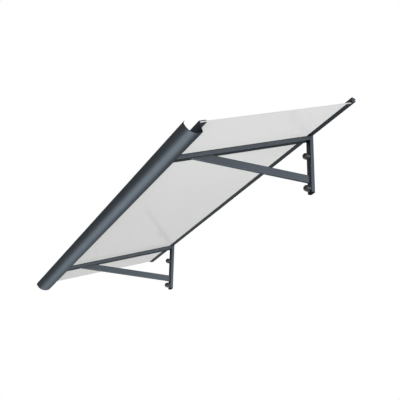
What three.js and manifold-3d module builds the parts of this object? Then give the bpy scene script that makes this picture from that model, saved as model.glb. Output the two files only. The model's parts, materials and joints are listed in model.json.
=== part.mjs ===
// Lean-to door canopy: a milky sheet held between a wall bar and a front gutter, on two tube brackets.
//
// Millimetres. X runs along the wall, -Y points away from it and Z is up. The wall is the plane y = 0.
// The origin lies on the wall bar's lower foot, half way along the bar.
// "out" is a distance from the wall and "up" a height above the wall bar's lower edge. "along" is a
// distance down the slope and "level" a height square to it, from the plane that the arms lie under.
import * as THREE from 'three';
import { mergeVertices } from 'three/addons/utils/BufferGeometryUtils.js';
import Module from 'manifold-3d';

const wasm = await Module();
wasm.setup();

// Whole canopy
const SLOPE = THREE.MathUtils.degToRad(20);
const PANEL_LENGTH = 2700; // along the wall
const GUTTER_REACH = 843; // down the slope, from the wall to the gutter's back wall
const BRACKET_SPACING = 1920; // between the middles of the two brackets
const GAP = 0.3; // between pieces that touch
const OVERCUT = 5; // by which a cutting shape passes the piece it cuts

// Sheet and its rubber seals
const PANEL_THICKNESS = 6;
const PANEL_ROOM = 1; // for the sheet to grow in length at its front and rear edges
const SEAL_THICKNESS = 1.3;
const SEAL_WIDTH = 16; // under the gutter's flange
const SEAL_BEAD = 3.2; // round bead along the seal's visible edge
const BEAD_RADIUS = 1.4;
const FLANGE = 2.5; // thickness of the flanges that hold the sheet from below and above

// Gutter profile
const GUTTER_WALL = 2.5;
const CHANNEL_DEPTH = 32; // by which its flanges grip the sheet
const TROUGH_RADIUS = 62; // outside of the round front
const TROUGH_CENTRE_ALONG = 18.8; // from the back wall's rear face to the middle of the round front
const TROUGH_CENTRE_LEVEL = 16.7;
const TROUGH_CORNER = 4; // outside radius where the back wall meets the round front
const LIP_START = THREE.MathUtils.degToRad(-3); // where the round front ends, from straight forward
const LIP_LEAN = THREE.MathUtils.degToRad(44); // by which the lip leans back
const LIP_LENGTH = 11;

// Wall bar profile
const BAR_OVERHANG = 21; // beyond the sheet at each end, end cap included
const BAR_DEPTH = 20;
const BAR_FRONT_HEIGHT = 16.9; // of its front face, above the slot for the sheet
const BAR_FALL = 7; // by which its top falls towards the wall, as a groove for sealant
const BAR_WALL = 2.5;
const BAR_LOWER_FOOT = 3.5;
const BAR_UPPER_FOOT = 4;
const BAR_GROOVE = 4; // depth of the groove between the two feet
const BAR_JAW = 42; // length of the flange under the sheet, down the slope
const BAR_ROUND = 0.6; // radius of its outside edges
const END_CAP = 2;
const END_CAP_SPIGOT = 10; // length of the part that plugs into the bar

// Brackets
const TUBE_WALL = 2;
const TUBE_ROUND = 1.2; // outside radius of a tube's long edges
const BRACKET_WIDTH = 40; // of the arm and the post, along the wall
const ARM_DEPTH = 20;
const POST_DEPTH = 20;
const BRACE_WIDTH = 15;
const BRACE_HEIGHT = 40;
const BRACE_RISE = 51.6; // from the post's lower end to the brace
const BRACE_TIP_ROOM = 120.7; // down the slope, from the brace's tip to the gutter's back wall
const PLUG_FLANGE = 3;
const PLUG_DEPTH = 16;
const STRIP_WIDTH = 39; // rubber strip between the arm and the sheet
const STRIP_END_ROOM = 2;

// Wall bolts and their caps
const UPPER_BOLT_DROP = 119; // below the wall bar
const LOWER_BOLT_RISE = 21; // above the post's lower end
const BOLT_DIAMETER = 12;
const BOLT_CLEARANCE = 1;
const BOLT_HEAD = { acrossFlats: 19, height: 7.5 };
const WASHER = { diameter: 24, thickness: 2.5 };
const CAP_DIAMETER = 34;
const CAP_STRAIGHT = 17; // length of the cap's straight part, before its dome
const CAP_EDGE = 0.8; // chamfer at the cap's rim
const CAP_ROOM = 3.7; // above the bolt's head

// Screws through the gutter into the arms, and through the wall bar into the wall
const SCREW_CLEARANCE = 0.6;
const SCREW_HEAD_EDGE = 1.4; // bevel round the head
const SCREW_POINT = 1.2; // length of the tapered point
const GUTTER_SCREW = { diameter: 5, head: 9.5, headHeight: 3, length: 22 };
const GUTTER_SCREW_SPACING = 18;
const INSERT_LENGTH = 26;
const BAR_SCREW = { diameter: 3.8, head: 7, headHeight: 2.4 };
const BAR_SCREW_COUNT = 5;
const BAR_SCREW_END_ROOM = 150; // from the bar's end to its first screw

// Colours and surfaces
const COAT = { color: 0x4b545c, roughness: 0.5, metalness: 0.35 }; // anthracite powder coat
const OPAL = { color: 0xdcdddd, roughness: 0.3, metalness: 0 };
const BLACK_PLASTIC = { color: 0x24272a, roughness: 0.45, metalness: 0 };
const RUBBER = { color: 0x1b1c1d, roughness: 0.85, metalness: 0 };
const ZINC = { color: 0xb4b8ba, roughness: 0.35, metalness: 1 };
const STAINLESS = { color: 0xc4c6c6, roughness: 0.3, metalness: 1 };

const ROUNDNESS = 0.06; // by which a straight step may leave its arc
const TURN_STEPS = 24; // in a full turn of a turned piece
const MERGE = 1e-3; // points nearer than this are one point

const sin = Math.sin(SLOPE);
const cos = Math.cos(SLOPE);

// Levels of the sheet and of what grips it
const panelLow = FLANGE + GAP;
const panelHigh = panelLow + PANEL_THICKNESS;
const sealLow = panelHigh + GAP;
const sealHigh = sealLow + SEAL_THICKNESS;
const slotHigh = sealHigh + GAP;
const armHigh = -GAP;
const armLow = armHigh - ARM_DEPTH;
const armMiddle = (armHigh + armLow) / 2;

// Places down the slope
const channelEdge = GUTTER_REACH - CHANNEL_DEPTH;
const slotEnd = (BAR_GROOVE + BAR_WALL - FLANGE * sin) / cos;
const panelRear = slotEnd + GAP + BAR_SCREW.headHeight + PANEL_ROOM;
const panelFront = GUTTER_REACH - PANEL_ROOM;
const armFront = GUTTER_REACH - GAP;
const braceTip = GUTTER_REACH - BRACE_TIP_ROOM;

// Changes between the upright and the sloping way of giving a place
const slopePoint = (along, level) => [along * cos + level * sin, level * cos - along * sin];
const upAt = (level, out) => (level - out * sin) / cos;
const outAt = (level, up) => (level - up * cos) / sin;
const alongAt = (level, out) => (out - level * sin) / cos;

// Places along the wall
const bracketPlaces = { left: -BRACKET_SPACING / 2, right: BRACKET_SPACING / 2 };
const gutterScrewOffsets = [-GUTTER_SCREW_SPACING / 2, GUTTER_SCREW_SPACING / 2];

// Heights on the post: the brace's lower edge meets the arm's underside at the brace's tip
const armUnderside = armLow - GAP;
const [, braceLow] = slopePoint(braceTip, armUnderside);
const braceHigh = braceLow + BRACE_HEIGHT;
const postLow = braceLow - BRACE_RISE;
const boltHeights = { upper: -UPPER_BOLT_DROP, lower: postLow + LOWER_BOLT_RISE };

// A closed outline through [x, y, radius] points; a radius rounds that corner with an arc.
function outline(points, path = new THREE.Shape()) {
  points.forEach(([x, y, radius = 0], i) => {
    const corner = new THREE.Vector2(x, y);
    const [previous, next] = [points.at(i - 1), points[(i + 1) % points.length]];
    const back = new THREE.Vector2(previous[0], previous[1]).sub(corner).normalize();
    const ahead = new THREE.Vector2(next[0], next[1]).sub(corner).normalize();
    const start = corner.clone().addScaledVector(back, radius / Math.tan(Math.acos(back.dot(ahead)) / 2));
    if (i === 0) path.moveTo(start.x, start.y);
    else path.lineTo(start.x, start.y);
    if (radius === 0) return;
    const clockwise = back.cross(ahead) > 0;
    const inward = new THREE.Vector2(back.y, -back.x).multiplyScalar(clockwise ? -radius : radius);
    const centre = start.clone().add(inward);
    const startAngle = Math.atan2(-inward.y, -inward.x);
    const turn = Math.PI - Math.acos(back.dot(ahead));
    path.absarc(centre.x, centre.y, radius, startAngle, startAngle + (clockwise ? -turn : turn), clockwise);
  });
  path.closePath();
  return path;
}

function rectangle(width, height, radius = 0) {
  const [x, y] = [width / 2, height / 2];
  return [[-x, -y, radius], [x, -y, radius], [x, y, radius], [-x, y, radius]];
}

// A tube's section: a rounded rectangle with an even wall
function tubeSection(width, height) {
  const section = outline(rectangle(width, height, TUBE_ROUND));
  const bore = rectangle(width - 2 * TUBE_WALL, height - 2 * TUBE_WALL).reverse();
  section.holes.push(outline(bore, new THREE.Path()));
  return section;
}

// A path as straight steps, as many in each arc as keep it round, with each joint between curves kept once
function flatten(path) {
  const points = path.curves.flatMap((curve) => {
    const angle = curve.isEllipseCurve ? curve.getLength() / curve.xRadius : 0;
    const stepAngle = 2 * Math.acos(1 - ROUNDNESS / curve.xRadius);
    return curve.getPoints(angle ? Math.ceil(angle / stepAngle) : 1).slice(1);
  });
  return points.filter((point, i) => point.distanceTo(points.at(i - 1)) > MERGE);
}

function extrude(shape, depth) {
  const section = new THREE.Shape(flatten(shape));
  section.holes = shape.holes.map((hole) => new THREE.Path(flatten(hole)));
  return new THREE.ExtrudeGeometry(section, { depth, bevelEnabled: false });
}

const X = new THREE.Vector3(1, 0, 0);
const Z = new THREE.Vector3(0, 0, 1);
const OUT = new THREE.Vector3(0, -1, 0);
const ACROSS = new THREE.Matrix4().makeBasis(OUT, Z, X.clone().negate());
const OUTWARD = new THREE.Matrix4().makeBasis(X, Z, OUT);

// A profile drawn as [out, up] and stretched along the wall, half to each side
function alongWall(shape, length) {
  return extrude(shape, length).translate(0, 0, -length / 2).applyMatrix4(ACROSS);
}

// A section drawn as [x, up] and stretched away from the wall, from one distance to another
function outward(shape, from, to) {
  return extrude(shape, to - from).translate(0, 0, from).applyMatrix4(OUTWARD);
}

// A section drawn as [x, y] and stretched upwards
function upward(shape, from, to) {
  return extrude(shape, to - from).translate(0, 0, from);
}

// A turned piece: [radius, out] points, with its axis square to the wall
function turned(profile) {
  const points = profile.map(([radius, out]) => new THREE.Vector2(radius, out));
  return new THREE.LatheGeometry(points, TURN_STEPS).rotateX(Math.PI);
}

function rod(diameter, from, to, x = 0, z = 0) {
  const radius = diameter / 2;
  return turned([[0, from], [radius, from], [radius, to], [0, to]]).translate(x, 0, z);
}

// Joins and cuts, on closed meshes of shared corners
function solid(geometry) {
  const bare = geometry.clone();
  bare.deleteAttribute('normal');
  bare.deleteAttribute('uv');
  const merged = mergeVertices(bare, MERGE);
  const triVerts = [];
  for (let i = 0; i < merged.index.count; i += 3) {
    const [a, b, c] = [0, 1, 2].map((k) => merged.index.getX(i + k));
    if (a !== b && b !== c && c !== a) triVerts.push(a, b, c);
  }
  const vertProperties = new Float32Array(merged.attributes.position.array);
  const mesh = new wasm.Mesh({ numProp: 3, vertProperties, triVerts: new Uint32Array(triVerts) });
  return new wasm.Manifold(mesh);
}

function geometryOf(manifold) {
  const { vertProperties, triVerts } = manifold.getMesh();
  const geometry = new THREE.BufferGeometry();
  geometry.setAttribute('position', new THREE.BufferAttribute(vertProperties, 3));
  geometry.setIndex(new THREE.BufferAttribute(triVerts, 1));
  geometry.computeVertexNormals();
  return geometry;
}

function cut(geometry, ...tools) {
  return geometryOf(tools.reduce((left, tool) => left.subtract(solid(tool)), solid(geometry)));
}

function join(geometry, ...others) {
  return geometryOf(others.reduce((whole, other) => whole.add(solid(other)), solid(geometry)));
}

function addPiece(parent, name, geometry, finish) {
  const mesh = new THREE.Mesh(geometry, new THREE.MeshStandardMaterial(finish));
  mesh.name = name;
  parent.add(mesh);
}

// Gutter: channel for the sheet, back wall, one round front and a lip that leans back
function gutterSection() {
  const wallInside = GUTTER_REACH + GUTTER_WALL;
  const centre = [GUTTER_REACH + TROUGH_CENTRE_ALONG, TROUGH_CENTRE_LEVEL];
  const inside = TROUGH_RADIUS - GUTTER_WALL;
  const flangeHigh = slotHigh + FLANGE;

  // The rounded corner lies against the back wall and inside the round front
  const cornerAlong = TROUGH_CORNER - TROUGH_CENTRE_ALONG;
  const cornerLevel = -Math.sqrt((TROUGH_RADIUS - TROUGH_CORNER) ** 2 - cornerAlong ** 2);
  const cornerAngle = Math.atan2(cornerLevel, cornerAlong);
  const corner = [centre[0] + cornerAlong, centre[1] + cornerLevel];

  // The lip keeps the wall's thickness, so its inner face starts where it meets the inner arc
  const lipWay = [-Math.sin(LIP_LEAN), Math.cos(LIP_LEAN)];
  const lipBack = [-Math.cos(LIP_LEAN) * GUTTER_WALL, -Math.sin(LIP_LEAN) * GUTTER_WALL];
  const lipFoot = [TROUGH_RADIUS * Math.cos(LIP_START), TROUGH_RADIUS * Math.sin(LIP_START)];
  const innerFoot = [lipFoot[0] + lipBack[0], lipFoot[1] + lipBack[1]];
  const reach = innerFoot[0] * lipWay[0] + innerFoot[1] * lipWay[1];
  const beyond = innerFoot[0] ** 2 + innerFoot[1] ** 2 - inside ** 2;
  const slide = -reach - Math.sqrt(reach ** 2 - beyond);
  const innerStart = [innerFoot[0] + slide * lipWay[0], innerFoot[1] + slide * lipWay[1]];
  const lipTip = lipFoot.map((value, i) => centre[i] + value + LIP_LENGTH * lipWay[i]);

  const section = new THREE.Shape();
  section.moveTo(channelEdge, 0);
  section.lineTo(GUTTER_REACH, 0);
  section.absarc(...corner, TROUGH_CORNER, Math.PI, cornerAngle + 2 * Math.PI, false);
  section.absarc(...centre, TROUGH_RADIUS, cornerAngle, LIP_START, false);
  section.lineTo(...lipTip);
  section.lineTo(lipTip[0] + lipBack[0], lipTip[1] + lipBack[1]);
  section.absarc(...centre, inside, Math.atan2(innerStart[1], innerStart[0]), cornerAngle, true);
  section.absarc(...corner, TROUGH_CORNER - GUTTER_WALL, cornerAngle + 2 * Math.PI, Math.PI, true);
  section.lineTo(wallInside, flangeHigh);
  section.lineTo(channelEdge, flangeHigh);
  section.lineTo(channelEdge, slotHigh);
  section.lineTo(GUTTER_REACH, slotHigh);
  section.lineTo(GUTTER_REACH, FLANGE);
  section.lineTo(channelEdge, FLANGE);
  section.closePath();
  return section;
}

// Wall bar: two feet on the wall, a slot for the sheet, a jaw under it and a hollow above it
const barFrontLow = upAt(slotHigh, BAR_DEPTH);
const barFrontHigh = barFrontLow + BAR_FRONT_HEIGHT;
const barBackHigh = barFrontHigh - BAR_FALL;

// The bar's front has the jaw and the slot in it, and the front of an end cap is plain
const slottedFront = [
  [...slopePoint(BAR_JAW, 0), BAR_ROUND],
  [...slopePoint(BAR_JAW, FLANGE), BAR_ROUND],
  slopePoint(slotEnd, FLANGE),
  slopePoint(slotEnd, slotHigh),
  [BAR_DEPTH, barFrontLow, BAR_ROUND],
];
const plainFront = [[BAR_DEPTH, upAt(0, BAR_DEPTH), BAR_ROUND]];

function barOutline(front) {
  return outline([
    [0, 0],
    ...front,
    [BAR_DEPTH, barFrontHigh, BAR_ROUND],
    [BAR_DEPTH - BAR_WALL, barFrontHigh],
    [0, barBackHigh],
    [0, barBackHigh - BAR_UPPER_FOOT],
    [BAR_GROOVE, barBackHigh - BAR_UPPER_FOOT],
    [BAR_GROOVE, BAR_LOWER_FOOT],
    [0, BAR_LOWER_FOOT],
  ]);
}

// The hollow keeps the bar's wall on all sides; room shrinks it for what plugs into it
function barHollow(room) {
  const fall = Math.atan2(BAR_FALL, BAR_DEPTH - BAR_WALL);
  const wall = BAR_WALL + room;
  const top = (out) => barBackHigh + out * Math.tan(fall) - wall / Math.cos(fall);
  const bottom = (out) => upAt(slotHigh + wall, out);
  const [rear, front] = [BAR_GROOVE + wall, BAR_DEPTH - wall];
  return [[rear, bottom(rear)], [front, bottom(front)], [front, top(front)], [rear, top(rear)]];
}

// What is milled off the jaw beyond the sheet's ends, up to the foot of the slot
function jawCut() {
  const [rear, front] = [slotEnd, BAR_JAW + OVERCUT];
  const [low, high] = [-OVERCUT, panelLow];
  return outline([
    slopePoint(rear, low),
    slopePoint(front, low),
    slopePoint(front, high),
    slopePoint(rear, high),
  ]);
}

// A seal lies on the sheet under a flange, with a bead just outside the flange's edge.
// inward is 1 where the flange reaches down the slope from its edge, and -1 where it reaches up.
function sealSection(edge, width, inward) {
  const beadHigh = slotHigh + FLANGE / 2;
  const [near, far] = [edge - inward * GAP, edge - inward * (GAP + SEAL_BEAD)];
  return outline([
    [edge + inward * width, sealLow],
    [far, sealLow],
    [far, beadHigh, BEAD_RADIUS],
    [near, beadHigh, BEAD_RADIUS],
    [near, sealHigh],
    [edge + inward * width, sealHigh],
  ]);
}

// A pan-headed screw, from its point to its head: out is where its head bears
function panScrew({ diameter, head, headHeight }, length, out) {
  const [shank, rim] = [diameter / 2, head / 2];
  return turned([
    [0, out - length],
    [shank, out - length + SCREW_POINT],
    [shank, out],
    [rim, out],
    [rim, out + headHeight - SCREW_HEAD_EDGE],
    [rim - SCREW_HEAD_EDGE, out + headHeight],
    [0, out + headHeight],
  ]);
}

// Bracket pieces, each drawn with the middle of the bracket at x = 0
function armTube() {
  const edge = (level) => alongAt(level, POST_DEPTH + GAP);
  const start = edge(armHigh) - OVERCUT;
  const section = tubeSection(BRACKET_WIDTH, ARM_DEPTH);
  const tube = outward(section, start, armFront).translate(0, 0, armMiddle);
  const mitre = outline([
    [start - OVERCUT, armLow - OVERCUT],
    [edge(armLow - OVERCUT), armLow - OVERCUT],
    [edge(armHigh + OVERCUT), armHigh + OVERCUT],
    [start - OVERCUT, armHigh + OVERCUT],
  ]);
  return cut(tube, alongWall(mitre, BRACKET_WIDTH + 2 * OVERCUT));
}

function postTube() {
  const section = tubeSection(BRACKET_WIDTH, POST_DEPTH);
  const tube = upward(section, postLow, OVERCUT).translate(0, -POST_DEPTH / 2, 0);
  const top = (out) => upAt(armHigh, out);
  const mitre = outline([
    [-OVERCUT, top(-OVERCUT)],
    [POST_DEPTH + OVERCUT, top(POST_DEPTH + OVERCUT)],
    [POST_DEPTH + OVERCUT, 2 * OVERCUT],
    [-OVERCUT, 2 * OVERCUT],
  ]);
  const holes = Object.values(boltHeights).map((height) =>
    rod(BOLT_DIAMETER + BOLT_CLEARANCE, -OVERCUT, POST_DEPTH + OVERCUT, 0, height));
  return cut(tube, alongWall(mitre, BRACKET_WIDTH + 2 * OVERCUT), ...holes);
}

function braceTube() {
  const edge = (height) => outAt(armUnderside, height);
  const end = edge(braceLow) + OVERCUT;
  const section = tubeSection(BRACE_WIDTH, BRACE_HEIGHT);
  const tube = outward(section, POST_DEPTH + GAP, end).translate(0, 0, (braceLow + braceHigh) / 2);
  const mitre = outline([
    [edge(braceLow - OVERCUT), braceLow - OVERCUT],
    [end + 2 * OVERCUT, braceLow - OVERCUT],
    [end + 2 * OVERCUT, braceHigh + OVERCUT],
    [edge(braceHigh + OVERCUT), braceHigh + OVERCUT],
  ]);
  return cut(tube, alongWall(mitre, BRACE_WIDTH + 2 * OVERCUT));
}

// What plugs into a tube of this outside size
const boreRoom = (size) => size - 2 * (TUBE_WALL + GAP);

function postPlug() {
  const low = postLow - GAP - PLUG_FLANGE;
  const flange = upward(outline(rectangle(BRACKET_WIDTH, POST_DEPTH, TUBE_ROUND)), low, low + PLUG_FLANGE);
  const spigotSection = tubeSection(boreRoom(BRACKET_WIDTH), boreRoom(POST_DEPTH));
  const spigot = upward(spigotSection, low + PLUG_FLANGE / 2, low + PLUG_DEPTH);
  return join(flange, spigot).translate(0, -POST_DEPTH / 2, 0);
}

function armInsert() {
  const section = outline(rectangle(boreRoom(BRACKET_WIDTH), boreRoom(ARM_DEPTH)));
  const hole = GUTTER_SCREW.diameter + SCREW_CLEARANCE;
  const holes = gutterScrewOffsets.map((x) =>
    rod(hole, armFront - INSERT_LENGTH - OVERCUT, armFront + OVERCUT, x));
  return cut(outward(section, armFront - INSERT_LENGTH, armFront), ...holes).translate(0, 0, armMiddle);
}

function wallBolt() {
  const seat = POST_DEPTH + 2 * GAP + WASHER.thickness;
  const corner = BOLT_HEAD.acrossFlats / Math.sqrt(3);
  const head = new THREE.CylinderGeometry(corner, corner, BOLT_HEAD.height, 6);
  head.translate(0, -seat - BOLT_HEAD.height / 2, 0);
  return join(rod(BOLT_DIAMETER, GAP, seat + BOLT_HEAD.height / 2), head);
}

function washer() {
  const [hole, rim] = [(BOLT_DIAMETER + BOLT_CLEARANCE) / 2, WASHER.diameter / 2];
  const [low, high] = [POST_DEPTH + GAP, POST_DEPTH + GAP + WASHER.thickness];
  return turned([[hole, low], [rim, low], [rim, high], [hole, high], [hole, low]]);
}

function boltCap() {
  const low = POST_DEPTH + GAP;
  const rim = CAP_DIAMETER / 2;
  const cavity = WASHER.diameter / 2 + GAP;
  const cavityEnd = low + WASHER.thickness + GAP + BOLT_HEAD.height + CAP_ROOM;
  const domeSteps = TURN_STEPS / 4;
  const dome = Array.from({ length: domeSteps }, (_, i) => {
    const angle = (i / TURN_STEPS) * 2 * Math.PI;
    return [rim * Math.cos(angle), low + CAP_STRAIGHT + rim * Math.sin(angle)];
  });
  return turned([
    [0, cavityEnd],
    [cavity, cavityEnd],
    [cavity, low],
    [rim - CAP_EDGE, low],
    [rim, low + CAP_EDGE],
    ...dome,
    [0, low + CAP_STRAIGHT + rim],
  ]);
}

const canopy = new THREE.Group();
const upright = new THREE.Group();
upright.position.z = -BAR_LOWER_FOOT / 2;
canopy.add(upright);
const roof = new THREE.Group();
roof.rotation.x = SLOPE;
upright.add(roof);

// Sheet and gutter
const panelDepth = panelFront - panelRear;
const panel = new THREE.BoxGeometry(PANEL_LENGTH, panelDepth, PANEL_THICKNESS);
panel.translate(0, -panelRear - panelDepth / 2, (panelLow + panelHigh) / 2);
addPiece(roof, 'panel', panel, OPAL);

const gutterHole = rod(GUTTER_SCREW.diameter + SCREW_CLEARANCE, armFront, GUTTER_REACH + GUTTER_WALL + GAP);
const gutterHoles = Object.values(bracketPlaces).flatMap((place) =>
  gutterScrewOffsets.map((x) => gutterHole.clone().translate(place + x, 0, armMiddle)));
addPiece(roof, 'gutter', cut(alongWall(gutterSection(), PANEL_LENGTH), ...gutterHoles), COAT);

// Wall bar, its screws and its end caps
const barLength = PANEL_LENGTH + 2 * (BAR_OVERHANG - END_CAP - GAP);
const screwLevel = slotHigh - GAP - BAR_SCREW.head / 2;
const screwPoint = alongAt(screwLevel - BAR_SCREW.diameter / 2, GAP);
const screwStep = (barLength - 2 * BAR_SCREW_END_ROOM) / (BAR_SCREW_COUNT - 1);
const barScrewHole = BAR_SCREW.diameter + SCREW_CLEARANCE;
const barScrewPlaces = Array.from({ length: BAR_SCREW_COUNT }, (_, i) =>
  -barLength / 2 + BAR_SCREW_END_ROOM + i * screwStep);

const barSection = barOutline(slottedFront);
barSection.holes.push(outline(barHollow(0).reverse(), new THREE.Path()));
const barHoles = barScrewPlaces.map((x) =>
  rod(barScrewHole, screwPoint - OVERCUT, slotEnd + GAP, x, screwLevel).rotateX(SLOPE));
const jawCuts = [-1, 1].map((sign) =>
  alongWall(jawCut(), BAR_OVERHANG).translate(sign * (PANEL_LENGTH + BAR_OVERHANG) / 2, 0, 0));
addPiece(upright, 'wall_bar', cut(alongWall(barSection, barLength), ...barHoles, ...jawCuts), COAT);

barScrewPlaces.forEach((x, i) => {
  const seat = slotEnd + GAP;
  const screw = panScrew(BAR_SCREW, seat - screwPoint, seat).translate(x, 0, screwLevel);
  addPiece(roof, `bar_screw_${i + 1}`, screw, STAINLESS);
});

// An end cap: a plate over the whole end, and a spigot in the bar's hollow
for (const [side, sign] of [['left', -1], ['right', 1]]) {
  const plate = alongWall(barOutline(plainFront), END_CAP);
  const spigot = alongWall(outline(barHollow(GAP)), END_CAP_SPIGOT);
  spigot.translate(-sign * END_CAP_SPIGOT / 2, 0, 0);
  const place = sign * (PANEL_LENGTH / 2 + BAR_OVERHANG - END_CAP / 2);
  addPiece(upright, `bar_end_cap_${side}`, join(plate, spigot).translate(place, 0, 0), COAT);
}

// Seals along the front and rear of the sheet
const frontSeal = sealSection(channelEdge, SEAL_WIDTH, 1);
addPiece(roof, 'front_seal', alongWall(frontSeal, PANEL_LENGTH), RUBBER);
const slotEdge = alongAt(slotHigh, BAR_DEPTH);
const rearSeal = sealSection(slotEdge, slotEdge - panelRear - PANEL_ROOM, -1);
addPiece(roof, 'rear_seal', alongWall(rearSeal, PANEL_LENGTH), RUBBER);

// Brackets with their bolts, caps, plugs, strips and screws
for (const [side, place] of Object.entries(bracketPlaces)) {
  const bracket = new THREE.Group();
  bracket.position.x = place;
  const sloping = new THREE.Group();
  sloping.rotation.x = SLOPE;
  bracket.add(sloping);
  upright.add(bracket);

  addPiece(sloping, `arm_${side}`, armTube(), COAT);
  addPiece(bracket, `post_${side}`, postTube(), COAT);
  addPiece(bracket, `brace_${side}`, braceTube(), COAT);
  addPiece(bracket, `post_plug_${side}`, postPlug(), BLACK_PLASTIC);

  const [stripRear, stripFront] = [BAR_JAW + STRIP_END_ROOM, channelEdge - STRIP_END_ROOM];
  const strip = outward(outline(rectangle(STRIP_WIDTH, FLANGE)), stripRear, stripFront);
  addPiece(sloping, `arm_strip_${side}`, strip.translate(0, 0, FLANGE / 2), RUBBER);

  addPiece(sloping, `arm_insert_${side}`, armInsert(), BLACK_PLASTIC);
  gutterScrewOffsets.forEach((x, i) => {
    const seat = GUTTER_REACH + GUTTER_WALL + GAP;
    const screw = panScrew(GUTTER_SCREW, GUTTER_SCREW.length, seat).translate(x, 0, armMiddle);
    addPiece(sloping, `gutter_screw_${side}_${i + 1}`, screw, STAINLESS);
  });

  for (const [row, height] of Object.entries(boltHeights)) {
    addPiece(bracket, `wall_bolt_${side}_${row}`, wallBolt().translate(0, 0, height), ZINC);
    addPiece(bracket, `washer_${side}_${row}`, washer().translate(0, 0, height), ZINC);
    addPiece(bracket, `bolt_cap_${side}_${row}`, boltCap().translate(0, 0, height), BLACK_PLASTIC);
  }
}

export default canopy;
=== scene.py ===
# %% [markdown]
# A lean-to door canopy
#
# The canopy is one milky sheet that slopes down from a wall. A slotted bar holds its rear edge, a gutter
# profile holds its front edge, and two brackets of flat tube carry it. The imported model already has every
# piece at its real size, so this lesson keeps those shapes and gives them rounded edges, finishes and
# light.

# %% Load the frame
import json
import math

import bmesh
import bpy
from mathutils import Matrix, Vector

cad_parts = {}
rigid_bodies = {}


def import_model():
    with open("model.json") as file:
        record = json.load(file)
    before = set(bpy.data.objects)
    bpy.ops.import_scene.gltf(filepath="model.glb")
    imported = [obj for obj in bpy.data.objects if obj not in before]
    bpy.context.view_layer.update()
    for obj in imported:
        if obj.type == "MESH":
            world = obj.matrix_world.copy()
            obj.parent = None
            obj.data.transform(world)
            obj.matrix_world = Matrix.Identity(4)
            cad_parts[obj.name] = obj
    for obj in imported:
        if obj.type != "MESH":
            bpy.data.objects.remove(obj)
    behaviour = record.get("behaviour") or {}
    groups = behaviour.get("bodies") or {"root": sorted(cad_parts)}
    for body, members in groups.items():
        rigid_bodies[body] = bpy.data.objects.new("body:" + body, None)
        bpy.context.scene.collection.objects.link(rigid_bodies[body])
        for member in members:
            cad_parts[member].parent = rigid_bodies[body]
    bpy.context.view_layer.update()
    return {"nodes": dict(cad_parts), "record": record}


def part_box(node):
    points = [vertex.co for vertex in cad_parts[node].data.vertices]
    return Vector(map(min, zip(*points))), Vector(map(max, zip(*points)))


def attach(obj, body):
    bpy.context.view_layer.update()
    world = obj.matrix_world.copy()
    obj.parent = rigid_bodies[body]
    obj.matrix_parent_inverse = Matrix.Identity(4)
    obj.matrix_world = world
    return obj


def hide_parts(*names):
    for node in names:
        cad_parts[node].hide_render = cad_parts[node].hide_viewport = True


MM = 0.001

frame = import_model()
scene = bpy.context.scene

# %% [markdown]
# The camera
#
# The canopy is seen from below and from its right-hand end, so the camera stands low, out in front of the
# wall, and looks up. A camera could be aimed with a constraint, but plain angles are easier to read. It
# starts looking straight down and gets the slight roll that makes the posts lean as they should. Then it is
# tipped up past the horizon, and last it is turned about the upright axis.

# %% Camera
CAMERA_PLACE = (4.2378, -2.0142, -1.9447)
CAMERA_AZIMUTH = math.radians(66.944)
CAMERA_PITCH = math.radians(22.472)
CAMERA_ROLL = math.radians(1.391)
CAMERA_LENS = 73.83

bpy.ops.object.camera_add()
camera = bpy.context.object
camera.name = "camera"
camera.data.lens = CAMERA_LENS
roll = Matrix.Rotation(CAMERA_ROLL, 4, "Z")
tip = Matrix.Rotation(math.pi / 2 + CAMERA_PITCH, 4, "X")
turn = Matrix.Rotation(CAMERA_AZIMUTH, 4, "Z")
camera.matrix_world = Matrix.Translation(CAMERA_PLACE) @ turn @ (tip @ roll)
scene.camera = camera
print("camera at", CAMERA_PLACE, "with a lens of", CAMERA_LENS, "mm")

# %% [markdown]
# Helpers for materials
#
# Colours are easiest to choose as hex values, as a paint card or a picture editor shows them, but shaders
# work in linear light. One function makes that change. A second one adds a node, sets its options and fills
# its inputs, so that each finish below reads as a short list of what it is made of. A third one gives a
# material or the world an empty node tree to start from.

# %% Colour and node helpers
def linear(hex_colour):
    """A hex sRGB colour as the linear colour that a shader takes, by the sRGB curve."""
    shares = [int(hex_colour[i : i + 2], 16) / 255 for i in (0, 2, 4)]
    curve = [s / 12.92 if s <= 0.04045 else ((s + 0.055) / 1.055) ** 2.4 for s in shares]
    return (*curve, 1)


def add_node(tree, kind, inputs, **options):
    """Adds a node; an input is a value, or an output of another node to link."""
    made = tree.nodes.new("ShaderNode" + kind)
    for name, value in options.items():
        setattr(made, name, value)
    for name, value in inputs.items():
        if isinstance(value, bpy.types.NodeSocket):
            tree.links.new(value, made.inputs[name])
        else:
            made.inputs[name].default_value = value
    return made


def new_tree(owner):
    """An empty node tree on a material or a world."""
    owner.use_nodes = True
    owner.node_tree.nodes.clear()
    return owner.node_tree


print("middle grey in linear light:", [round(c, 3) for c in linear("808080")])

# %% [markdown]
# Floor, background and light
#
# The background is plain white, so the world is white with a strength of 1, at which a colour renders about
# as it is written. A picture of a studio is often used instead, but a plain world needs no file. Its light
# comes evenly from all sides, also from below by way of the pale floor, which suits a roof that is seen from
# below. Two soft lamps give it a direction: a weak one above, and one on the floor by the near end, which
# makes the sheet a little brighter there. That one is left out of reflections, where its outline would show.
#
# Two white cards do the opposite, as in a photographer's studio: they only show in reflections. One stands
# beside the near end and brightens the flat sides of the tubes. The other lies on the floor, from under the
# middle of the canopy to well past its far end, and the round gutter mirrors it as its long highlight.

# %% Floor
FLOOR_HEIGHT = -2.45
FLOOR_SIZE = 300

bpy.ops.object.select_all(action="DESELECT")
bpy.ops.mesh.primitive_plane_add(size=FLOOR_SIZE, location=(0, 0, FLOOR_HEIGHT))
floor = bpy.context.object
floor.name = "floor"

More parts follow.
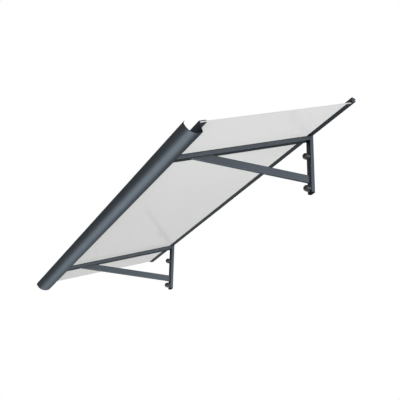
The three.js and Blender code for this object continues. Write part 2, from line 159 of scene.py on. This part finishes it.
paving = bpy.data.materials.new("pale_matt_paving")
tree = new_tree(paving)
matt = add_node(tree, "BsdfPrincipled", {
    "Base Color": linear("E6E6E4"), "Roughness": 0.9, "Specular IOR Level": 0,
})
add_node(tree, "OutputMaterial", {"Surface": matt.outputs[0]})
floor.data.materials.append(paving)
print("floor", FLOOR_SIZE, "m wide,", -FLOOR_HEIGHT, "m below the wall bar")

# %% World
world = bpy.data.worlds.new("white_studio")
scene.world = world
tree = new_tree(world)
white = add_node(tree, "Background", {"Color": (1, 1, 1, 1), "Strength": 1})
add_node(tree, "OutputWorld", {"Surface": white.outputs[0]})
scene.view_settings.view_transform = "Standard"
print("white world with a strength of 1")


# %% Lamps
def softbox(name, place, target, size, level):
    """A soft lamp of the given width and depth; level sets how bright its face is."""
    bpy.ops.object.light_add(type="AREA", location=place)
    lamp = bpy.context.object
    lamp.name = name
    lamp.data.shape = "RECTANGLE"
    lamp.data.size, lamp.data.size_y = size
    lamp.data.energy = level * math.pi * size[0] * size[1]
    lamp.rotation_euler = (Vector(target) - Vector(place)).to_track_quat("-Z", "Y").to_euler()
    lamp.visible_camera = False
    print(name, "of", size, "m at", place)
    return lamp


FLOOR_LAMP_HEIGHT = FLOOR_HEIGHT + 30 * MM
NEAR_SPOT = (2.0, 0.1)

softbox("top_softbox", place=(0.5, -1.5, 4.5), target=(0, -0.4, 0), size=(4.0, 4.0), level=0.5)
near_lamp = softbox(
    "near_softbox",
    place=(*NEAR_SPOT, FLOOR_LAMP_HEIGHT),
    target=(*NEAR_SPOT, 0),
    size=(2.0, 2.0),
    level=1.15,
)
near_lamp.visible_glossy = False

# %% Reflection cards
SIDE_CARD_HEIGHT = -0.35
FAR_SPOT = (-3.0, -0.56)

side_card = softbox(
    "side_card",
    place=(6.1, 2.2, SIDE_CARD_HEIGHT),
    target=(0.5, -0.4, SIDE_CARD_HEIGHT),
    size=(3.4, 0.9),
    level=42.0,
)
floor_card = softbox(
    "floor_card",
    place=(*FAR_SPOT, FLOOR_LAMP_HEIGHT),
    target=(*FAR_SPOT, 0),
    size=(6.8, 2.4),
    level=5.9,
)
for card in (side_card, floor_card):
    card.visible_diffuse = False
print("two cards that only show in reflections")

# %% [markdown]
# Powder coat on aluminium
#
# Profiles and tubes are extruded aluminium with an anthracite powder coat. The powder melts into a satin
# skin that is never quite flat: it has the low ripple called orange peel, and its gloss drifts a little
# from place to place. It could be set as a paint with a clear coat, but a dark coat with metal flake
# mirrors its surroundings evenly, so it is set as a metal with a dimmed edge. Two noise patterns on Object
# coordinates give the drift and the ripple.

# %% Powder coat
COAT_DRIFT = 180 * MM
COAT_RIPPLE = 5 * MM  # about 1.5 mm on the real coat, and drawn this coarse so that it shows
COAT_RIPPLE_DEPTH = 0.3 * MM
COAT_EDGE = 0.43  # share of the reflection that is kept where the surface is seen at a glancing angle


def powder_coat():
    # A satin skin: broad soft highlights, no clear mirror image, a faint ripple seen close up
    coat = bpy.data.materials.new("anthracite_powder_coat")
    tree = new_tree(coat)
    place = add_node(tree, "TexCoord", {}).outputs["Object"]
    drift = add_node(tree, "TexNoise", {"Vector": place, "Scale": 1 / COAT_DRIFT, "Detail": 3})
    ripple = add_node(tree, "TexNoise", {"Vector": place, "Scale": 1 / COAT_RIPPLE, "Detail": 2})
    bump = add_node(tree, "Bump", {
        "Height": ripple.outputs[0], "Strength": 0.5, "Distance": COAT_RIPPLE_DEPTH,
    })
    colour = add_node(tree, "ValToRGB", {"Fac": drift.outputs[0]})
    colour.color_ramp.elements[0].color = linear("383D42")
    colour.color_ramp.elements[1].color = linear("3E4348")
    gloss = add_node(tree, "MapRange", {"Value": drift.outputs[0], "To Min": 0.44, "To Max": 0.5})
    shader = add_node(tree, "BsdfPrincipled", {
        "Base Color": colour.outputs[0],
        "Metallic": 1,
        "Roughness": gloss.outputs[0],
        "Specular Tint": (COAT_EDGE, COAT_EDGE, COAT_EDGE, 1),
        "Normal": bump.outputs[0],
    })
    add_node(tree, "OutputMaterial", {"Surface": shader.outputs[0]})
    return coat


finishes = {"powder_coat": powder_coat()}
print("made", finishes["powder_coat"].name)

# %% [markdown]
# Opal sheet
#
# The roof is a 6 mm sheet of milky acrylic, about as white as paper, with a smooth skin from the polishing
# rolls. Light enters it, scatters and leaves again on both faces, so it glows softly from below. A
# translucent shader could be mixed in for that, but subsurface scattering does it in the same shader that
# gives the skin its faint gloss.

# %% Opal sheet
SHEET_THICKNESS = 6 * MM
SHEET_CLOUD = 400 * MM


def opal_sheet():
    # Even and milky: a faint but clear mirror image, and a soft glow where light comes through its edges
    sheet = bpy.data.materials.new("opal_acrylic")
    tree = new_tree(sheet)
    place = add_node(tree, "TexCoord", {}).outputs["Object"]
    cloud = add_node(tree, "TexNoise", {"Vector": place, "Scale": 1 / SHEET_CLOUD, "Detail": 2})
    colour = add_node(tree, "ValToRGB", {"Fac": cloud.outputs[0]})
    colour.color_ramp.elements[0].color = linear("D9DADB")
    colour.color_ramp.elements[1].color = linear("DDDEDE")
    polish = add_node(tree, "MapRange", {"Value": cloud.outputs[0], "To Min": 0.08, "To Max": 0.11})
    shader = add_node(tree, "BsdfPrincipled", {
        "Base Color": colour.outputs[0],
        "Roughness": polish.outputs[0],
        "IOR": 1.49,
        "Specular IOR Level": 0.008,
        "Subsurface Weight": 0.2,
        "Subsurface Radius": (1, 1, 1),
        "Subsurface Scale": SHEET_THICKNESS,
    })
    add_node(tree, "OutputMaterial", {"Surface": shader.outputs[0]})
    return sheet


finishes["opal_sheet"] = opal_sheet()
print("made", finishes["opal_sheet"].name)

# %% [markdown]
# Moulded black plastic, rubber and plain metals
#
# The bolt caps and inserts are moulded nylon with a fine eroded texture. The post plugs are a softer,
# duller polyethylene, drawn darker than the caps: that darker colour is painted shade for their undersides,
# which lie in shade. The seals and strips are extruded rubber, matt and a little dusty. The bolts and
# washers are zinc-plated and the screws are stainless steel: hidden or nearly so, but finished all the
# same. They could each have a node tree of their own, but all of them are an even colour with a fine grain,
# so one function makes them with other values.

# %% Grained finishes
GLOSS_SPREAD = 0.05


def grained(name, dark, light, roughness, grain, depth, metallic=0.0, specular=0.5):
    """A finish whose colour and gloss follow a fine grain of the given size."""
    finish = bpy.data.materials.new(name)
    tree = new_tree(finish)
    place = add_node(tree, "TexCoord", {}).outputs["Object"]
    noise = add_node(tree, "TexNoise", {"Vector": place, "Scale": 1 / grain, "Detail": 3})
    bump = add_node(tree, "Bump", {"Height": noise.outputs[0], "Strength": 0.2, "Distance": depth})
    colour = add_node(tree, "ValToRGB", {"Fac": noise.outputs[0]})
    colour.color_ramp.elements[0].color = linear(dark)
    colour.color_ramp.elements[1].color = linear(light)
    gloss = add_node(tree, "MapRange", {
        "Value": noise.outputs[0], "To Min": roughness - GLOSS_SPREAD, "To Max": roughness + GLOSS_SPREAD,
    })
    shader = add_node(tree, "BsdfPrincipled", {
        "Base Color": colour.outputs[0],
        "Metallic": metallic,
        "Roughness": gloss.outputs[0],
        "Specular IOR Level": specular,
        "Normal": bump.outputs[0],
    })
    add_node(tree, "OutputMaterial", {"Surface": shader.outputs[0]})
    return finish


# The real grains are a fraction of a millimetre wide, and drawn at 2 to 4 mm so that they show
finishes |= {
    # Dark, with the faint sheen that the fine texture of the mould leaves
    "black_plastic": grained(
        "moulded_nylon", "1C1E20", "282B2D", 0.5, grain=2 * MM, depth=0.1 * MM, specular=0.3,
    ),
    # Soft and dull, and darker than the caps' plastic: painted shade for the plugs' shaded undersides
    "plug_plastic_painted_shade": grained(
        "moulded_polyethylene", "0A0B0C", "121314", 0.7, grain=2 * MM, depth=0.1 * MM, specular=0.05,
    ),
    # Matt and a little dusty, with no highlight to speak of
    "rubber": grained(
        "extruded_rubber", "323538", "3A3D40", 0.8, grain=3 * MM, depth=0.1 * MM, specular=0.2,
    ),
    # Bright but slightly cloudy plating
    "zinc": grained(
        "zinc_plate", "A9ADAF", "C3C6C8", 0.35, grain=4 * MM, depth=0.05 * MM, metallic=1.0,
    ),
    # Turned steel with a clear, soft shine
    "stainless": grained(
        "stainless_steel", "B4B6B6", "CBCCCC", 0.3, grain=2 * MM, depth=0.02 * MM, metallic=1.0,
    ),
}
print(len(finishes), "finishes made")

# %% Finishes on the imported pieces
SIDES = ("left", "right")

slot_of = {part["node"]: part["material_slot"] for part in frame["record"]["subparts"]}
finish_of = {node: finishes[slot] for node, slot in slot_of.items()}
# The plugs share the caps' slot, but get the duller plastic, whose darker colour is painted shade
finish_of |= {f"post_plug_{side}": finishes["plug_plastic_painted_shade"] for side in SIDES}
for name, piece in frame["nodes"].items():
    piece.data.materials.clear()
    piece.data.materials.append(finish_of[name])
print("finishes on", len(finish_of), "pieces")

# %% [markdown]
# Helpers for modelling
#
# An operator works on everything that is selected, so a piece is first selected alone. A Bevel modifier
# rounds its edges, and a second modifier turns the shading so that flat faces stay flat. When a piece is
# done, it is tied to the body that it moves with, to the node that it stands for and to that node's
# material slot.

# %% Modelling helpers
CORNER = math.radians(40)


def select_alone(piece):
    """Selects one piece, and makes it the one that operators act on."""
    bpy.ops.object.select_all(action="DESELECT")
    piece.select_set(True)
    bpy.context.view_layer.objects.active = piece


def finish_edges(piece, edge, corner=CORNER):
    """Rounds every edge sharper than corner, with flat faces kept flat."""
    select_alone(piece)
    bevel = piece.modifiers.new("rounded_edges", "BEVEL")
    bevel.width = edge
    bevel.segments = 2
    bevel.angle_limit = corner
    bpy.ops.object.modifier_apply(modifier=bevel.name)
    bpy.ops.object.shade_smooth_by_angle(angle=corner)
    flat = piece.modifiers.new("flat_faces", "WEIGHTED_NORMAL")
    flat.weight = 100
    flat.keep_sharp = True
    bpy.ops.object.modifier_apply(modifier=flat.name)


def stand_for(piece, node):
    """Ties a finished piece to the node that it replaces."""
    piece.name = node + "_finished"
    piece.data.materials.clear()
    piece.data.materials.append(finish_of[node])
    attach(piece, "root")
    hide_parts(node)
    print(piece.name, len(piece.data.polygons), "faces")


print("edges are rounded where faces turn by more than", round(math.degrees(CORNER)), "degrees")

# %% [markdown]
# Rounded edges on profiles, tubes and sheet
#
# No real edge is perfectly sharp: extrusions leave the die with small radii, saw cuts are broken with a
# file, and the coat rounds them further. Those thin edges catch the light. A shader can fake them, but then
# the outline stays sharp. So each long piece is copied, its loose triangles are merged into whole faces, a
# Bevel modifier rounds its edges, and the copy stands for the original in the picture.

# %% Round the edges
MERGE_DISTANCE = 0.005 * MM
FLAT_ANGLE = math.radians(0.5)


def merged_copy(name):
    """A copy of a CAD piece with its loose triangles merged into whole faces."""
    piece = bpy.data.objects.new(name, frame["nodes"][name].data.copy())
    scene.collection.objects.link(piece)
    select_alone(piece)
    bpy.ops.mesh.customdata_custom_splitnormals_clear()
    bpy.ops.object.mode_set(mode="EDIT")
    bpy.ops.mesh.select_all(action="SELECT")
    bpy.ops.mesh.remove_doubles(threshold=MERGE_DISTANCE)
    bpy.ops.mesh.dissolve_limited(angle_limit=FLAT_ANGLE)
    bpy.ops.object.mode_set(mode="OBJECT")
    return piece


edges = {
    "gutter": 0.4 * MM, "wall_bar": 0.3 * MM, "panel": 0.6 * MM,
    "front_seal": 0.15 * MM, "rear_seal": 0.15 * MM,
}
for side in SIDES:
    edges |= {f"{kind}_{side}": 0.3 * MM for kind in ("bar_end_cap", "arm", "post", "brace")}
    edges[f"arm_strip_{side}"] = 0.4 * MM
for name, edge in edges.items():
    piece = merged_copy(name)
    finish_edges(piece, edge)
    stand_for(piece, name)

# %% [markdown]
# Bolt caps
#
# Each wall bolt is hidden by a moulded cap: a short round barrel with a half-round dome, hollow behind for
# the bolt's head. It could be spun from a profile, but a cylinder gets there faster. Its front edge is
# bevelled by almost its whole radius, which rolls it into a dome. Two cuts and an inset leave the fine
# groove where the halves of the mould met, and an inset pushed inwards from behind makes the hollow. Edges
# and faces are picked by where they lie, as a hand would click them.

# %% Measures of a bolt cap
CAP_SIDES = 64
CAP_EDGE = 0.15 * MM
DOME_STEPS = 14
GATE_RADIUS = 0.5 * MM  # flat mark at the top of the dome, where the plastic entered
CAVITY_RADIUS = 12.3 * MM
CAVITY_DEPTH = 14 * MM
GROOVE_WIDTH = 0.8 * MM
GROOVE_DEPTH = 0.4 * MM

FIRST_CAP = "bolt_cap_right_upper"
low, high = (Vector(corner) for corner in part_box(FIRST_CAP))
cap_radius = (high.x - low.x) / 2
foot = high.y
groove_start = low.y + cap_radius
groove_end = groove_start + GROOVE_WIDTH
print("bolt cap with a radius of", round(cap_radius / MM, 1), "mm")


# %% Bolt cap
def pick(piece, kind, wanted):
    """In edit mode, selects the faces or edges for which wanted(middle, part) is true."""
    bpy.ops.mesh.select_mode(type=kind)
    bpy.ops.mesh.select_all(action="DESELECT")
    mesh = bmesh.from_edit_mesh(piece.data)
    for part in mesh.faces if kind == "FACE" else mesh.edges:
        middle = sum((corner.co for corner in part.verts), Vector()) / len(part.verts)
        if wanted(middle, part):
            part.select_set(True)
    bmesh.update_edit_mesh(piece.data)


bpy.ops.object.select_all(action="DESELECT")
bpy.ops.mesh.primitive_cylinder_add(
    vertices=CAP_SIDES,
    radius=cap_radius,
    depth=high.y - low.y,
    location=(low + high) / 2,
    rotation=(math.pi / 2, 0, 0),
)
cap = bpy.context.object
bpy.ops.object.transform_apply()
bpy.ops.object.mode_set(mode="EDIT")
pick(cap, "EDGE", lambda middle, edge: all(corner.co.y < low.y + GATE_RADIUS for corner in edge.verts))
bpy.ops.mesh.bevel(offset=cap_radius - GATE_RADIUS, segments=DOME_STEPS, profile=0.5, clamp_overlap=False)
for cut in (groove_start, groove_end):
    bpy.ops.mesh.select_all(action="SELECT")
    bpy.ops.mesh.bisect(plane_co=(0, cut, 0), plane_no=(0, 1, 0))
pick(cap, "FACE", lambda middle, face: groove_start < middle.y < groove_end)
bpy.ops.mesh.inset(thickness=0, depth=-GROOVE_DEPTH)
pick(cap, "FACE", lambda middle, face: middle.y > foot - GROOVE_WIDTH)
bpy.ops.mesh.inset(thickness=cap_radius - CAVITY_RADIUS)
bpy.ops.mesh.extrude_region_move(TRANSFORM_OT_translate={"value": (0, -CAVITY_DEPTH, 0)})
bpy.ops.mesh.select_all(action="SELECT")
bpy.ops.mesh.normals_make_consistent()
bpy.ops.object.mode_set(mode="OBJECT")
finish_edges(cap, CAP_EDGE)
stand_for(cap, FIRST_CAP)


# %% Other bolt caps
def copy_to(piece, first_node, node):
    """A copy with its own mesh, moved by the way from the first node to this one."""
    copy = bpy.data.objects.new(node, piece.data.copy())
    scene.collection.objects.link(copy)
    way = Vector(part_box(node)[0]) - Vector(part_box(first_node)[0])
    copy.data.transform(Matrix.Translation(way))
    stand_for(copy, node)


for side in SIDES:
    for row in ("upper", "lower"):
        node = f"bolt_cap_{side}_{row}"
        if node != FIRST_CAP:
            copy_to(cap, FIRST_CAP, node)

# %% [markdown]
# Post plugs
#
# A black plug closes the lower end of each post: a flange as wide as the tube and a hollow spigot that
# grips its inside. It could be joined from two boxes, but the real plug is moulded in one and has no seam.
# So it starts as one box that is cut down to the flange. The underside gets the shallow dish that moulded
# plugs have, insets and extrusions of the top face raise the hollow spigot, and last the upright edges are
# bevelled like the tube's. Rounding them first would spoil the insets, because an inset wider than a round
# corner folds over itself.

# %% Measures of a post plug
PLUG_FLANGE = 3 * MM
PLUG_ROUND = 1.2 * MM
PLUG_EDGE = 0.4 * MM
DISH_EDGE = 3 * MM
DISH_DEPTH = 0.8 * MM
SPIGOT_INSET = 2.3 * MM
SPIGOT_WALL = 2 * MM
FACING = 0.9  # a face counts as looking up or down if its normal's upright part is more than this

FIRST_PLUG = "post_plug_right"
low, high = (Vector(corner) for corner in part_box(FIRST_PLUG))
flange_top = low.z + PLUG_FLANGE
print("post plug", [round(side / MM, 1) for side in high - low], "mm wide, deep and high")

# %% Post plug
bpy.ops.object.select_all(action="DESELECT")
bpy.ops.mesh.primitive_cube_add(size=1, location=(low + high) / 2, scale=high - low)
plug = bpy.context.object
bpy.ops.object.transform_apply()
bpy.ops.object.mode_set(mode="EDIT")
bpy.ops.mesh.select_all(action="SELECT")
bpy.ops.mesh.bisect(plane_co=(0, 0, flange_top), plane_no=(0, 0, 1), clear_outer=True, use_fill=True)
pick(plug, "FACE", lambda middle, face: face.normal.z < -FACING)
bpy.ops.mesh.inset(thickness=DISH_EDGE)
bpy.ops.mesh.inset(thickness=DISH_DEPTH, depth=-DISH_DEPTH)
pick(plug, "FACE", lambda middle, face: face.normal.z > FACING and middle.z > flange_top - DISH_DEPTH / 2)
bpy.ops.mesh.inset(thickness=SPIGOT_INSET)
bpy.ops.mesh.extrude_region_move(TRANSFORM_OT_translate={"value": (0, 0, high.z - flange_top)})
bpy.ops.mesh.inset(thickness=SPIGOT_WALL)
bpy.ops.mesh.extrude_region_move(TRANSFORM_OT_translate={"value": (0, 0, flange_top - high.z)})
pick(plug, "EDGE", lambda middle, edge: abs(edge.verts[0].co.z - edge.verts[1].co.z) > PLUG_FLANGE / 2)
bpy.ops.mesh.bevel(offset=PLUG_ROUND, segments=4)
bpy.ops.mesh.select_all(action="SELECT")
bpy.ops.mesh.normals_make_consistent()
bpy.ops.object.mode_set(mode="OBJECT")
finish_edges(plug, PLUG_EDGE)
stand_for(plug, FIRST_PLUG)
copy_to(plug, FIRST_PLUG, "post_plug_left")

# %% [markdown]
# Gutter screws
#
# Two screws hold each arm's front end to the back wall of the gutter, with their heads inside the trough.
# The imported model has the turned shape. A copy of it gets the six-sided socket for a key. An inset of the
# round head would give a round hole, so a Boolean modifier cuts the socket with a six-sided prism that
# stands on the head along the screw's axis.

# %% Measures of a gutter screw
SLOPE = math.radians(20)  # the fall of the sheet, which the screws follow
SOCKET_ACROSS = 4 * MM
SOCKET_DEPTH = 1.8 * MM
CROWN_BAND = 0.01 * MM  # corners this near the top of the head belong to its end face
SCREW_EDGE = 0.15 * MM
SCREW_CORNER = math.radians(35)

FIRST_SCREW = "gutter_screw_right_1"
axis = Vector((0, -math.cos(SLOPE), -math.sin(SLOPE)))
screw = merged_copy(FIRST_SCREW)
top = max(corner.co.dot(axis) for corner in screw.data.vertices)
crown = [corner.co for corner in screw.data.vertices if corner.co.dot(axis) > top - CROWN_BAND]
head = sum(crown, Vector()) / len(crown)
print("middle of the screw's head at", [round(way, 4) for way in head])

# %% Gutter screw
bpy.ops.object.select_all(action="DESELECT")
bpy.ops.mesh.primitive_cylinder_add(
    vertices=6,
    radius=SOCKET_ACROSS / math.sqrt(3),
    depth=2 * SOCKET_DEPTH,
    location=head,
    rotation=axis.to_track_quat("Z", "X").to_euler(),
)
key = bpy.context.object
select_alone(screw)
socket = screw.modifiers.new("socket", "BOOLEAN")
socket.object = key
bpy.ops.object.modifier_apply(modifier=socket.name)
bpy.data.objects.remove(key)
finish_edges(screw, SCREW_EDGE, corner=SCREW_CORNER)
stand_for(screw, FIRST_SCREW)
for node in ("gutter_screw_right_2", "gutter_screw_left_1", "gutter_screw_left_2"):
    copy_to(screw, FIRST_SCREW, node)

# %% [markdown]
# Which piece sees which light
#
# A bright card also puts stray glints on pieces that it is not meant for, as soon as the canopy is seen
# from another side. A photographer would shade those pieces off, and light linking does the same: each card
# is given a collection of the pieces that it may light. The side card is kept off the sheet and off the
# profiles along its edges, with their seals and screws. The floor card is kept off the sheet, the arms with
# their strips, and the post plugs.
#
# On the real sheet, light that comes through from above washes out the shade of whatever lies under it.
# Here most of its light comes from below, which would draw a grey halo round each tube. So the tubes, with
# the strips and plugs on them, and the wall bar are left out of the diffuse rays that carry this light. The
# sheet also mirrors the posts as two faint streaks. The braces would add two more that the real sheet does
# not show, so they are left out of reflections.

# %% Light linking
finished = [piece for piece in scene.objects if piece.name.endswith("_finished")]


def keep_off(card, kinds):
    """Lets a card light every finished piece, apart from those whose names start with one of kinds."""
    lit = bpy.data.collections.new(card.name + "_pieces")
    for piece in finished:
        if not piece.name.startswith(kinds):
            lit.objects.link(piece)
    card.light_linking.receiver_collection = lit


keep_off(side_card, ("panel_", "gutter_", "wall_bar_", "front_seal_", "rear_seal_"))
keep_off(floor_card, ("panel_", "arm_", "post_plug_"))

# %% Shade and mirror images on the sheet
TUBES_AND_BAR = ("arm_", "brace_", "post_", "wall_bar_")

shadeless = [piece for piece in finished if piece.name.startswith(TUBES_AND_BAR)]
for piece in shadeless:
    piece.visible_diffuse = False
    piece.visible_glossy = not piece.name.startswith("brace_")
print(len(shadeless), "pieces leave no shade on the sheet, and the braces no mirror image")
